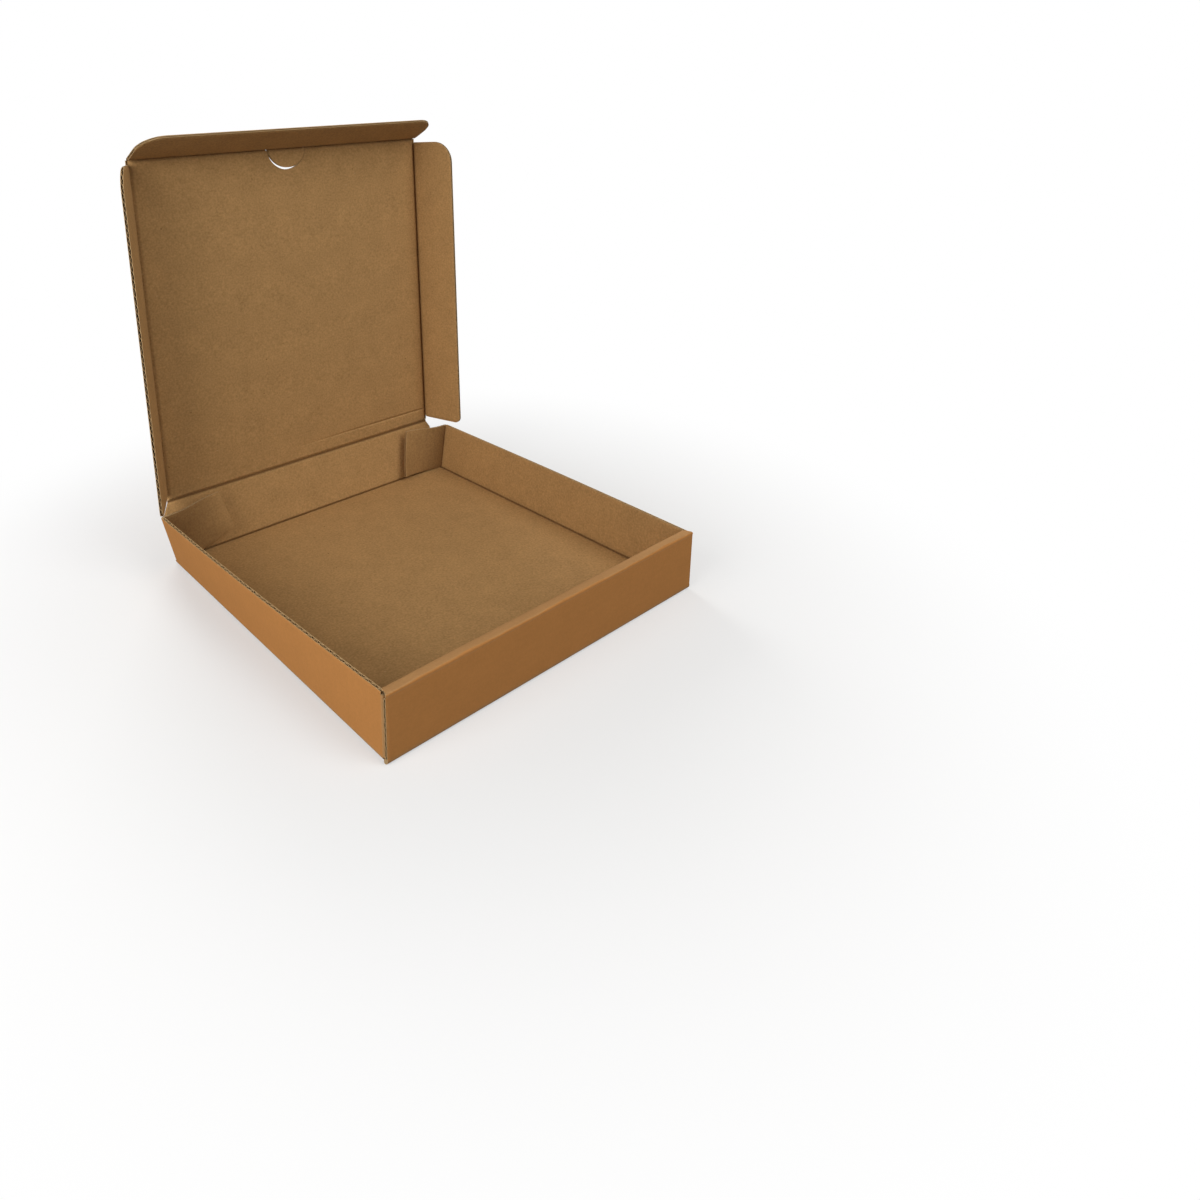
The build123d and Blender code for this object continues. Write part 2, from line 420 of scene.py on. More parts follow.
def piece(name, sheets, body=None, replaced=()):
    """One mesh object of several sheets, riding on a body."""
    counts = np.cumsum([0] + [len(s["points"]) for s in sheets])
    points = np.concatenate([s["points"] for s in sheets])
    if not np.isfinite(points).all():
        raise RuntimeError(f"{name} has points without a place")
    quads = np.concatenate([s["quads"] + start for s, start in zip(sheets, counts)])
    mesh = bpy.data.meshes.new(name)
    mesh.vertices.add(len(points))
    mesh.vertices.foreach_set("co", points.astype(np.float32).ravel())
    mesh.loops.add(quads.size)
    mesh.loops.foreach_set("vertex_index", quads.ravel())
    mesh.polygons.add(len(quads))
    mesh.polygons.foreach_set("loop_start", np.arange(0, quads.size, 4))
    mesh.polygons.foreach_set("loop_total", np.full(len(quads), 4))
    mesh.polygons.foreach_set("material_index", np.concatenate([s["finish"] for s in sheets]))
    uv = np.concatenate([s["uv"] for s in sheets])
    layer = mesh.uv_layers.new(name="board")
    layer.data.foreach_set("uv", uv[quads.ravel()].astype(np.float32).ravel())
    # The crease mark, which the papers turn into painted shade (paler kraft on the outer liner).
    crease = mesh.attributes.new("crease", "FLOAT", "POINT")
    crease.data.foreach_set("value", np.concatenate([s["crease"] for s in sheets]).astype(np.float32))
    for material in (kraft_liner(), recycled_liner(), fluting_paper()):
        mesh.materials.append(material)
    mesh.update(calc_edges=True)
    mesh.shade_smooth()
    mesh.set_sharp_from_angle(angle=SHARP_FROM)
    made = put(name, mesh)
    if body:
        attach(made, body)
    if replaced:
        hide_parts(*replaced)
    return made


def add(tree, kind, inputs=None, **settings):
    """Adds a shader node, with its settings and its inputs as values or links, and returns its outputs."""
    made = tree.nodes.new("ShaderNode" + kind)
    for key, value in settings.items():
        setattr(made, key, value)
    for key, value in (inputs or {}).items():
        if isinstance(value, bpy.types.NodeSocket):
            tree.links.new(value, made.inputs[key])
        else:
            made.inputs[key].default_value = value
    return made.outputs


def empty_tree(owner):
    """Cleared node tree of a material or a world."""
    owner.use_nodes = True
    owner.node_tree.nodes.clear()
    return owner.node_tree


def paper(name, base, mottle, grit, streak, washboard, crease_tint, crease_share, flecks=()):
    """Matt paper: cloudy mottling, fine grain, faint fibres along the flutes, and a crease tint along the
    crease mark: painted shade on the inner papers, paler kraft on the outer liner.

    Mottle, grit, streak and washboard are the swings in brightness of the clouds, the grain, the fibres and
    the flutes that show through. Each kind of fleck is (tint, gap, stretch, size, share).
    """
    if name in bpy.data.materials:
        return bpy.data.materials[name]
    pitch = bpy.context.scene.pizza_box.board.pitch
    material = bpy.data.materials.new(name)
    tree = empty_tree(material)
    place = add(tree, "TexCoord")["Object"]
    sheet = add(tree, "UVMap", uv_map="board")["UV"]
    cloud_size, grain_size, fibre_long, fibre_wide = 22 * MM, 1.7 * MM, 4 * MM, 0.9 * MM
    cloudy = {"Vector": place, "Scale": 1 / cloud_size, "Detail": 5.0, "Roughness": 0.6}
    clouds = add(tree, "TexNoise", cloudy)["Fac"]
    grainy = {"Vector": place, "Scale": 1 / grain_size, "Detail": 1.0, "Roughness": 0.5}
    grain = add(tree, "TexNoise", grainy)
    frayed, grain = grain["Color"], grain["Fac"]
    fibre_scale = (1 / fibre_wide, 1 / fibre_long, 1)
    stretched = add(tree, "Mapping", {"Vector": sheet, "Scale": fibre_scale})["Vector"]
    fibrous = {"Vector": stretched, "Scale": 1.0, "Detail": 4.0, "Roughness": 0.65}
    fibres = add(tree, "TexNoise", fibrous)["Fac"]
    across = add(tree, "SeparateXYZ", {"Vector": sheet})["X"]
    phase = add(tree, "Math", {0: across, 1: 2 * math.pi / pitch}, operation="MULTIPLY")[0]
    wave = add(tree, "Math", {0: phase}, operation="SINE")[0]

    tone = 1.0
    swings = ((clouds, mottle, 0.5), (fibres, streak, 0.5), (grain, grit, 0.5), (wave, washboard, 0))
    for source, amount, middle in swings:
        swing = add(tree, "Math", {0: source, 1: amount, 2: -amount * middle}, operation="MULTIPLY_ADD")[0]
        tone = add(tree, "Math", {0: swing, 1: tone}, operation="ADD")[0]
    # The crease mark mixes in the crease tint: painted shade for the inner liner and fluting, paler kraft for
    # the outer.
    line_sharpness = 3.0
    crease = add(tree, "Attribute", attribute_name="crease")["Fac"]
    sharp = add(tree, "Math", {0: crease, 1: line_sharpness}, operation="POWER")[0]
    fold_tint = add(tree, "Math", {0: sharp, 1: crease_share}, operation="MULTIPLY")[0]
    tints = {"Factor": fold_tint, "A": (*base, 1), "B": (*crease_tint, 1)}
    creased = add(tree, "Mix", tints, data_type="RGBA")["Result"]
    tinted = add(tree, "VectorMath", {0: creased, "Scale": tone}, operation="SCALE")["Vector"]

    for tint, gap, stretch, size, share in flecks:
        # Half of the cells hold a fleck, from nothing up to a little over its size, with a frayed outline.
        spread = 2.2 * size / gap
        apart = add(tree, "Mapping", {"Vector": sheet, "Scale": (1 / gap, 1 / (gap * stretch), 1)})["Vector"]
        shaken = {0: frayed, 1: (spread,) * 3, 2: apart}
        apart = add(tree, "VectorMath", shaken, operation="MULTIPLY_ADD")["Vector"]
        spots = add(tree, "TexVoronoi", {"Vector": apart, "Scale": 1.0, "Randomness": 1.0})
        chance = add(tree, "SeparateColor", {"Color": spots["Color"]})["Red"]
        radius = add(tree, "Math", {0: chance, 1: spread, 2: -spread / 2}, operation="MULTIPLY_ADD")[0]
        inside = add(tree, "Math", {0: spots["Distance"], 1: radius}, operation="LESS_THAN")[0]
        mix = add(tree, "Math", {0: inside, 1: share}, operation="MULTIPLY")[0]
        tinted = add(tree, "Mix", {"Factor": mix, "A": tinted, "B": (*tint, 1)}, data_type="RGBA")["Result"]

    wave_height = 18 * washboard
    relief = add(tree, "Math", {0: grain, 1: fibres}, operation="ADD")[0]
    relief = add(tree, "Math", {0: wave, 1: wave_height, 2: relief}, operation="MULTIPLY_ADD")[0]
    bump = add(tree, "Bump", {"Height": relief, "Strength": 0.35, "Distance": 0.06 * MM})["Normal"]
    matt = {"Base Color": tinted, "Roughness": 0.88, "IOR": 1.45, "Specular IOR Level": 0.25, "Normal": bump}
    add(tree, "OutputMaterial", {"Surface": add(tree, "BsdfPrincipled", matt)["BSDF"]})
    return material


def kraft_liner():
    """Outer kraft liner: machine-finished, smooth and warm brown, with faint flute lines."""
    finish = bpy.context.scene.pizza_box.finish
    swings = {"mottle": 0.14, "grit": 0.14, "streak": 0.10, "washboard": 0.006}
    return paper("kraft_outer_liner", finish.outer, **swings, crease_tint=finish.fold_tint, crease_share=0.75)


def recycled_liner():
    """Inner recycled liner: greyer, rough, mottled and flecked, with painted shade along its creases."""
    finish = bpy.context.scene.pizza_box.finish
    swings = {"mottle": 0.30, "grit": 0.62, "streak": 0.30, "washboard": 0.006}
    flecks = ((finish.fleck, 11 * MM, 1.0, 0.7 * MM, 0.65), (finish.fibre, 5 * MM, 1.8, 0.45 * MM, 0.4))
    creases = {"crease_tint": finish.shaded, "crease_share": 0.75}
    return paper("recycled_inner_liner", finish.inner, **swings, **creases, flecks=flecks)


def fluting_paper():
    """Fluted paper and bare cut edges: pale, open and fibrous."""
    finish = bpy.context.scene.pizza_box.finish
    swings = {"mottle": 0.12, "grit": 0.2, "streak": 0.12, "washboard": 0.0}
    # Painted shade along the creases, lighter than on the inner liner.
    return paper("fluting_paper", finish.fluting, **swings, crease_tint=finish.shaded, crease_share=0.2)


def joint_point(name):
    """Point on a joint's axis at rest."""
    if name not in JOINTS:
        raise RuntimeError(f"The frame has no joint named {name}")
    return np.array(JOINTS[name]["pos_m"], float)


def unit(vector):
    """Vector of length one."""
    return vector / np.linalg.norm(vector)


def rear_axes():
    """Up and out directions of the rear wall at rest."""
    lean = bpy.context.scene.pizza_box.lid.rear_lean
    up = np.array([0, math.sin(lean), math.cos(lean)])
    return up, np.cross(up, X_AXIS)


def lid_axes():
    """Up (away from the hinge) and out directions of the lid at rest, from the left flap's crease."""
    up = unit(np.array(JOINTS["lid_left_flap_fold"]["axis"], float))
    return up, np.cross(up, X_AXIS)


def folded(away, out, turn):
    """Directions of a flap folded inwards by a turn from a panel's plane: (away, out)."""
    return math.cos(turn) * away - math.sin(turn) * out, math.cos(turn) * out + math.sin(turn) * away


def wall_place(side, flare):
    """Placing of a side wall: straight lines from a square front section to the leaning rear section.

    u is Y, v the height up the wall from the inner corner, n outwards. The middle bellies out by
    bow sin(pi s) ease(v / rise), with s the share of the length.
    """
    stock, tray, _ = groups()
    thickness, (front, rear) = stock.thickness, wall_ends()
    out_rear = np.array([side * math.cos(flare), 0, -math.sin(flare)])
    up_rear = np.array([side * math.sin(flare), 0, math.cos(flare)])

    def place(u, v, n):
        share = ((u - front) / (rear - front))[..., None]
        out = (1 - share) * side * X_AXIS + share * out_rear
        up = (1 - share) * Z_AXIS + share * up_rear
        belly = tray.wall_bow * np.sin(math.pi * np.clip(share[..., 0], 0, 1)) * ease(v / tray.side_rise)
        corner = side * tray.half_inside * X_AXIS + thickness * Z_AXIS + u[..., None] * Y_AXIS
        return corner + v[..., None] * up + (thickness + n + belly)[..., None] * out

    return place


def wall_ends():
    """Y of the side walls' ends: inside the rolled front, and one board before the rear wall."""
    stock, tray, _ = groups()
    front = tray.front_face + stock.thickness + (tray.roll_gap + tray.dust_thickness) / 2
    return front, tray.rear_face - 2 * stock.thickness - tray.clearance


class PIZZABOX_OT_tray_floor(bpy.types.Operator):
    """Lay the floor of the tray, with the two slots for the lock tabs"""

    bl_idname = "pizza_box.tray_floor"
    bl_label = "Tray Floor"

    def execute(self, context):
        stock, tray, _ = groups()
        edge, thickness = tray.half_inside - stock.crease, stock.thickness
        start = tray.front_face + 2 * thickness + tray.roll_gap + tray.clearance
        end = tray.rear_face - stock.crease
        place = flat(np.zeros(3), X_AXIS, Y_AXIS, -Z_AXIS)
        edges = (
            dipped(lambda u, v: edge - np.abs(u), FOOT_MARK),
            scored(lambda u, v: end - v, stock.foot_run),
        )
        sheets = board(place, (-edge, edge), level(start), level(end), "u", edges)

        front, slot_step = tray.front_face + thickness + stock.crease, 20 * MM
        slot_half = tray.lock_half + tray.lock_margin
        slot_low, slot_high = tray.lock_offset - slot_half, tray.lock_offset + slot_half
        for low, high in ((-edge, -slot_high), (-slot_low, slot_low), (slot_high, edge)):
            sheets.append(plain(place, stops(low, high, slot_step), np.linspace(front, start, 3), thickness))
        piece("tray_floor", sheets, "tray", ("tray",))
        return {"FINISHED"}


class PIZZABOX_OT_tray_walls(bpy.types.Operator):
    """Fold up the side walls with their rear corner flaps and front dust flaps"""

    bl_idname = "pizza_box.tray_walls"
    bl_label = "Side Walls"

    def execute(self, context):
        tray = context.scene.pizza_box.tray
        for side, flare, name in ((-1, tray.left_flare, "left"), (1, tray.right_flare, "right")):
            piece(f"tray_{name}_wall", self.wall(side, flare), "tray")
            sheets, start, end = self.corner_flap(side, flare)
            flap = piece(f"tray_{name}_corner_flap", sheets)
            tuple(start)
            tuple(end)
            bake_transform(flap)
        return {"FINISHED"}

    @staticmethod
    def wall(side, flare):
        """Side wall, its bottom bend and its dust flap."""
        stock, tray, _ = groups()
        thickness, dip = stock.thickness, stock.fold_dip
        front, rear = wall_ends()
        place = wall_place(side, flare)
        low, high = stock.crease, tray.side_rise
        edges = (
            # Painted shade along the fold at the foot and along the crease to the corner flap.
            dipped(lambda u, v: v - low, FOOT_MARK),
            dipped(lambda u, v: rear - u, mark=0.9),
            trimmed(lambda u, v: high - v, stock.end_crush, stock.end_run),
        )
        sheets = board(place, (front, rear), level(low), level(high), "v", edges)

        past_corner, hollow = 0.25 * MM, 0.4 * MM
        y = stops(front, rear + thickness + past_corner, PANEL_STEP)
        at = np.zeros_like(y)
        corner = at + side * tray.half_inside
        floor_edge = corner - side * low
        foot = place(y, at + low, at)
        up = place(y, at + 2 * low, at) - foot
        meet = foot - up * (foot[:, 2:] / up[:, 2:])
        outer = (np.stack([floor_edge, y, at], -1), meet, foot)
        inner = (
            np.stack([floor_edge, y, at + thickness - dip], -1),
            np.stack([corner + side * hollow, y, at + thickness - dip - hollow], -1),
            place(y, at + low, at - thickness + dip),
        )
        sheets.append(bend(outer, inner, run=6 * MM, across_flutes=False))

        dust, margin = tray.dust_thickness, thickness + tray.clearance
        z = np.linspace(margin, tray.front_height - margin, 12)
        at = np.zeros_like(z)
        outside, end = side * (tray.half_inside + thickness), side * (tray.half_inside - tray.dust_length)
        bent = outside - side * dust
        tip = bent - side * dip
        outer, inner = (
            tuple(np.stack([at + x, at + y, z], -1) for x, y in path)
            for path in (
                ((outside, front), (outside, front - dust), (bent, front - dust)),
                ((bent, front), (tip, front), (tip, front)),
            )
        )
        sheets.append(bend(outer, inner, run=3 * MM, across_flutes=False))
        x, height = np.meshgrid(np.linspace(bent, end, 8), z)
        near, far = (np.stack([x, np.full_like(x, y), height], -1) for y in (front, front - dust))
        sheets.append(slab(far, near, np.stack([x, height], -1)))
        return sheets

    @staticmethod
    def corner_flap(side, flare):
        """Rear corner flap and the bend that joins it to the wall.

        The flap stands square to the wall at its crease and leans back with the rear wall at its free end.
        Each point turns about the rear wall's foot by 0.8 lean ease(s), with s its share of the way in from
        the wall, and comes forward by stand-off ((s - 0.42) / 0.58)^1.5, so that the free end stands clear
        of the rear wall.
        """
        stock, tray, lid = groups()
        thickness, dip, lift, height = stock.thickness, stock.fold_dip, tray.corner_lift, tray.corner_height
        rear = wall_ends()[1]
        along = np.array([-side * math.cos(flare), 0, math.sin(flare)])
        up = np.array([side * math.sin(flare), 0, math.cos(flare)])
        root = np.array([side * tray.half_inside, rear, thickness]) + lift * up
        if side < 0:
            reach, taper = 54.6 * MM, 0.0
            low_line = ((0, 36 * MM, reach), (-0.8 * MM, -3.6 * MM, 1.2 * MM))
        else:
            reach, taper = 51.6 * MM, 0.14
            low_line = ((0, reach), (-0.8 * MM, -6.0 * MM))
        free_top = (tray.corner_top - root[2] - reach * (1 - taper) * along[2]) / up[2]

        def low(e):
            return np.interp(e, *low_line)

        def top(e):
            return height + (free_top - height) * e / reach

        upright = flat(root + thickness * Y_AXIS, along, up, Y_AXIS)
        foot, lean = joint_point("rear_wall_fold"), 0.8 * lid.rear_lean
        stand_off, clear_from = 8 * MM, 0.42

        def place(e, d, n):
            points = upright(e * (1 - taper * np.clip(d / height, 0, 1)), d, n)
            share = (tray.half_inside - side * points[..., 0]) / reach
            forward = stand_off * np.maximum((share - clear_from) / (1 - clear_from), 0) ** 1.5
            y, z = points[..., 1] - foot[1] - forward, points[..., 2] - foot[2]
            cos, sin = np.cos(lean * ease(share)), np.sin(lean * ease(share))
            return np.stack([points[..., 0], foot[1] + y * cos + z * sin, foot[2] + z * cos - y * sin], -1)

        # A full line of painted shade at the crease, and painted shade over the whole flap, a little less
        # towards its free end;
        # the same mark pales the hidden outer kraft.
        painted_shade, painted_shade_fade = 0.88, 0.55 * MM
        edges = (
            dipped(lambda e, d: e, mark=1.0),
            (lambda e, d: painted_shade_fade * e / reach, 0, 0, stock.end_run, painted_shade),
            trimmed(lambda e, d: reach - e, stock.soft_crush, stock.end_run),
            trimmed(lambda e, d: np.minimum(d - low(e), top(e) - d), stock.end_crush, stock.end_run),
        )
        sheets = board(place, (0, reach), low, top, "v", edges, (low_line[0], np.linspace(0, reach, 32)))
        d = np.linspace(low(0.0), height, 10)
        at = np.zeros_like(d)
        wall = wall_place(side, flare)
        edge, inner_edge = (wall(at + rear, d + lift, at + n) for n in (0, dip - thickness))
        outer = (edge, edge + thickness * Y_AXIS, place(at, d, at))
        inner = (inner_edge, inner_edge + dip * Y_AXIS, place(at, d, at + dip - thickness))
        sheets.append(bend(outer, inner, run=5 * MM, across_flutes=False))
        start = side * tray.half_inside * X_AXIS
        return sheets, start, start - side * reach * X_AXIS


class PIZZABOX_OT_tray_front(bpy.types.Operator):
    """Roll the front wall over and hook it into the floor"""

    bl_idname = "pizza_box.tray_front"
    bl_label = "Rolled Front"

    def execute(self, context):
        stock, tray, _ = groups()
        thickness, crushed = stock.thickness, stock.crushed
        half, inner_half = tray.half_inside + thickness, tray.half_inside - tray.clearance
        roll_half, roll_rise = thickness + tray.roll_gap / 2, 2.6 * MM
        shoulder = tray.front_height - roll_rise
        foot, inner_low = thickness + stock.crease, thickness + tray.clearance
        front_place = flat(tray.front_face * Y_AXIS, X_AXIS, Z_AXIS, -Y_AXIS)
        inner_place = flat((tray.front_face + 2 * roll_half) * Y_AXIS, X_AXIS, Z_AXIS, Y_AXIS)
        rolled = scored(lambda u, v: shoulder - v, stock.crush_run, mark=1.0)
        ends = trimmed(lambda u, v: half - np.abs(u), stock.end_crush, stock.end_run)
        sheets = board(front_place, (-half, half), level(foot), level(shoulder), "u", (rolled, ends))
        inner_range = (-inner_half, inner_half)
        sheets += board(inner_place, inner_range, level(inner_low), level(shoulder), "u", (rolled,))

        # The rolled edge, a little uneven along x: x is the share of its half width, t the angle over it.
        x = stops(-1, 1, 0.025)
        t = np.linspace(0, math.pi, 25)[:, None]
        width = half + (inner_half - half) * ease(t / math.pi)
        wobble = np.sin(x * 9.1 + 0.7) + 0.6 * np.sin(x * 23.7 + 2.1) + 0.4 * np.sin(x * 51.3)
        uneven, sharpness, sink = 0.22 * MM, 2 / 3.2, 1.5 * MM

        def cap(half_width, rise):
            """Squarish arch that sinks to the rear: y and z follow |cos t|^k and |sin t|^k."""
            y = tray.front_face + roll_half - half_width * np.sign(np.cos(t)) * np.abs(np.cos(t)) ** sharpness
            z = shoulder + rise * np.abs(np.sin(t)) ** sharpness
            lift = uneven * wobble * np.sin(t) - sink * (1 - np.cos(t)) / 2 * np.sqrt(np.sin(t))
            return np.stack(np.broadcast_arrays(x * width, y + 0 * x, z + lift), -1)

        upper, lower = cap(roll_half, roll_rise), cap(roll_half - crushed, roll_rise - crushed)
        uv = np.stack(np.broadcast_arrays(t * roll_half, x * half), -1)
        # The paler band of kraft begins at an uneven line and ends before the inner ply; on the hidden inner
        # face the same mark is painted shade.
        pale_from, pale_wobble, pale_in, pale_out, pale_most = 0.45, 0.1375, 0.3, 0.4, 0.95
        fold_tint = ease((t - pale_from - pale_wobble * wobble) / pale_in) * ease((math.pi - t) / pale_out)
        sheets.append(slab(upper, lower, uv, crease=pale_most * fold_tint))

        u = stops(-half, half, STRIP_STEP)
        at = np.zeros_like(u)
        face, inside = tray.front_face, tray.front_face + thickness
        outer, inner = (
            tuple(np.stack([u, at + y, at + z], -1) for y, z in path)
            for path in (
                ((inside + stock.crease, 0), (face, 0), (face, foot)),
                ((inside + stock.crease, thickness), (inside, thickness), (inside, foot)),
            )
        )
        sheets.append(bend(outer, inner, run=5 * MM))

        tip = 0.2 * MM
        for side in (-1, 1):
            across = side * tray.lock_offset + np.linspace(-tray.lock_half, tray.lock_half, 6)
            sheets.append(plain(inner_place, across, np.linspace(tip, inner_low, 3), thickness))
        piece("tray_front_roll", sheets, "tray")
        return {"FINISHED"}


class PIZZABOX_OT_rear_wall(bpy.types.Operator):
    """Stand the rear wall on its crease, leaning back"""

    bl_idname = "pizza_box.rear_wall"
    bl_label = "Rear Wall"

    def execute(self, context):
        stock, _, lid = groups()
        left, right = -lid.rear_left, lid.rear_right
        up, out = rear_axes()
        # For each step outwards: rise of the lower edge past its crease, fall of the upper past the hinge.
        rise, fall = 11.0, 1.8

        def low(u):
            return stock.crease + rise * np.maximum(np.abs(u) - right, 0)

        def high(u):
            return lid.rear_height - stock.crease - fall * np.maximum(np.abs(u) - lid.panel_half, 0)

        edges = (
            scored(lambda u, v: v - low(u), stock.foot_run),
            pinched(lambda u, v: high(u) - v),
            trimmed(lambda u, v: np.minimum(u - left, right - u), stock.end_crush, stock.end_run),
        )
        place = flat(joint_point("rear_wall_fold"), X_AXIS, up, out)
        corners = (np.array([-right, -lid.panel_half, lid.panel_half]),)
        sheets = board(place, (left, right), low, high, "u", edges, corners)
        piece("rear_wall_board", sheets, "rear_wall", ("rear_wall",))
        return {"FINISHED"}


class PIZZABOX_OT_lid(bpy.types.Operator):
    """Hang the lid on its crease, with the half-moon cut at its front"""

    bl_idname = "pizza_box.lid"
    bl_label = "Lid"

    def execute(self, context):
        stock, _, lid = groups()
        up, out = lid_axes()
        half = abs(joint_point("lid_left_flap_fold")[0]) - stock.crease
        low, front = stock.crease, lid.lid_length - stock.crease
        moon = lid.moon_radius
        dish_depth, ridge_depth, ridge_width, ridge_length = 1.0 * MM, 2.0 * MM, 16 * MM, 90 * MM
        ridge_x, ridge_y, ridge_inset, inset_x, inset_y = 0.91, 0.42, 7 * MM, 22 * MM, 18 * MM
        line, line_width, line_depth, line_fade = 14.5 * MM, 0.9 * MM, 1.0 * MM, 1.0 * MM
        dent_from, dent_run, mark_from, mark_run = -40 * MM, 150 * MM, -60 * MM, 180 * MM

        def high(u):
            return lid.lid_length - np.maximum(stock.crease, np.sqrt(np.maximum(moon**2 - u**2, 0)))

        def bow(u, v):
            """Gentle dish over the lid, and a soft ridge that runs in from the front left corner."""
            x, y = u + half, v - front
            dish = dish_depth * (1 - (u / half) ** 2) * np.sin(math.pi * v / lid.lid_length)
            across, along = ridge_y * x + ridge_x * y, ridge_x * x - ridge_y * y
            inset = ease((x - ridge_inset) / inset_x) * ease(-y / inset_y)
            ridge = np.exp(-((across / ridge_width) ** 2) - (along / ridge_length) ** 2)
            return dish - ridge_depth * ridge * inset

        def dent(u, v):
            """Second, faint score line near the hinge, deepest on the right and fading out to the left."""
            return line_depth * np.exp(-(((v - line) / line_width) ** 2)) * ease((u - dent_from) / dent_run)

        def score(u, v):
            """Distance from the second score line, growing to the left where it fades."""
            return np.abs(v - line) + line_fade * (1 - ease((u - mark_from) / mark_run))

        edges = (
            scored(lambda u, v: half - np.abs(u), stock.tight_run),
            pinched(lambda u, v: v - low),
            scored(lambda u, v: front - v, stock.crush_run),
            # Painted shade along the faint second score line, with no thinning.
            (score, 0, 0, stock.crush_run, CREASE_MARK),
        )
        place = flat(joint_point("lid_hinge") + stock.thickness / 2 * out, X_AXIS, up, out, bow)
        moon_columns = moon * np.sin(np.linspace(-math.pi / 2, math.pi / 2, 41))
        line_rows = line - low + np.array([-2.2, -1.5, -0.9, -0.45, 0, 0.45, 0.9, 1.5, 2.2]) * MM
        extra = {"extra": (moon_columns,), "dent": dent, "extra_rows": (line_rows,)}
        sheets = board(place, (-half, half), level(low), high, "u", edges, **extra)
        piece("lid_board", sheets, "lid_panel", ("lid_panel",))
        return {"FINISHED"}


class PIZZABOX_OT_lid_flaps(bpy.types.Operator):
    """Fold the lid's two side flaps"""

    bl_idname = "pizza_box.lid_flaps"
    bl_label = "Lid Side Flaps"

    def execute(self, context):
        stock, _, lid = groups()
        up, out = lid_axes()
        low, high = lid.flap_rear, lid.lid_length - lid.flap_front
        top = rounded(low, high, lid.flap_depth, lid.rear_radius, lid.flap_radius)
        corners = (arc_columns(low, lid.rear_radius, 1), arc_columns(high, lid.flap_radius, -1))
        edges = (
            scored(lambda u, v: v - stock.crease, stock.tight_run),
            trimmed(lambda u, v: np.minimum(u - low, high - u), stock.cut_crush, stock.cut_run),
            trimmed(lambda u, v: top(u) - v, stock.end_crush, stock.end_run),
        )
        for side, name, turn, curl in (
            (-1, "left", lid.left_fold, 1.6 * MM),
            (1, "right", lid.right_fold, 0.8 * MM),
        ):
            away, outward = folded(side * X_AXIS, out, turn)

            def bow(u, v):
                """Curl of the flap, growing with the square of the way from its crease."""
                return curl * (v / lid.flap_depth) ** 2

            place = flat(joint_point(f"lid_{name}_flap_fold"), up, away, outward, bow)
            sheets = board(place, (low, high), level(stock.crease), top, "v", edges, corners)
            piece(f"lid_{name}_flap_board", sheets, f"lid_{name}_flap", (f"lid_{name}_flap",))
        return {"FINISHED"}


class PIZZABOX_OT_tuck_flap(bpy.types.Operator):
    """Fold the tuck flap at the lid's front edge"""

    bl_idname = "pizza_box.tuck_flap"
    bl_label = "Tuck Flap"

    def execute(self, context):
        stock, _, lid = groups()
        up, out = lid_axes()
        away, outward = folded(up, out, lid.tuck_fold)
        half, radius = lid.panel_half, lid.flap_radius
        top = rounded(-half, half, lid.tuck_depth, radius, radius)
        edges = (
            scored(lambda u, v: v - stock.crease, stock.crush_run),
            trimmed(lambda u, v: top(u) - v, stock.cut_crush, stock.cut_run),
        )
        place = flat(joint_point("tuck_flap_fold"), X_AXIS, away, outward)
        extra = (arc_columns(-half, radius, 1), arc_columns(half, radius, -1))
        sheets = board(place, (-half, half), level(stock.crease), top, "u", edges, extra)
        piece("tuck_flap_board", sheets, "tuck_flap", ("tuck_flap",))
        return {"FINISHED"}


class PIZZABOX_OT_thumb_tab(bpy.types.Operator):
    """Leave the half-moon thumb tab hanging on the tuck flap's crease"""

    bl_idname = "pizza_box.thumb_tab"
    bl_label = "Thumb Tab"

    def execute(self, context):
        stock, _, lid = groups()
        away, outward = tab_axes()
        half, depth = lid.tab_half, lid.tab_depth
        slanted = away + lid.tab_slant / depth * X_AXIS
        end = half - lid.tab_trim

        def top(u):
            return depth * np.sqrt(1 - (u / half) ** 2)

        def to_cut(u, v):
            """About the distance from the half-moon's rim, exact on its middle line."""
            return depth * (1 - np.hypot(u / half, v / depth))

        edges = (
            scored(lambda u, v: v - stock.crease, stock.crush_run),
            trimmed(to_cut, stock.soft_crush, stock.end_run),
        )
        place = flat(joint_point("thumb_tab_fold"), X_AXIS, slanted, outward)
        # Further columns follow the half-moon evenly, to this angle on both sides of its middle line.
        reach = 1.3
        extra = (np.clip(half * np.sin(np.linspace(-reach, reach, 41)), -end, end),)
        sheets = board(place, (-end, end), level(stock.crease), top, "u", edges, extra)
        piece("thumb_tab_board", sheets, "thumb_tab", ("thumb_tab",))
        return {"FINISHED"}


def tab_axes():
    """Away and out directions of the thumb tab at rest: back into the lid, turned by its lift."""
    up, out = lid_axes()
    return folded(-up, out, -bpy.context.scene.pizza_box.lid.tab_lift)


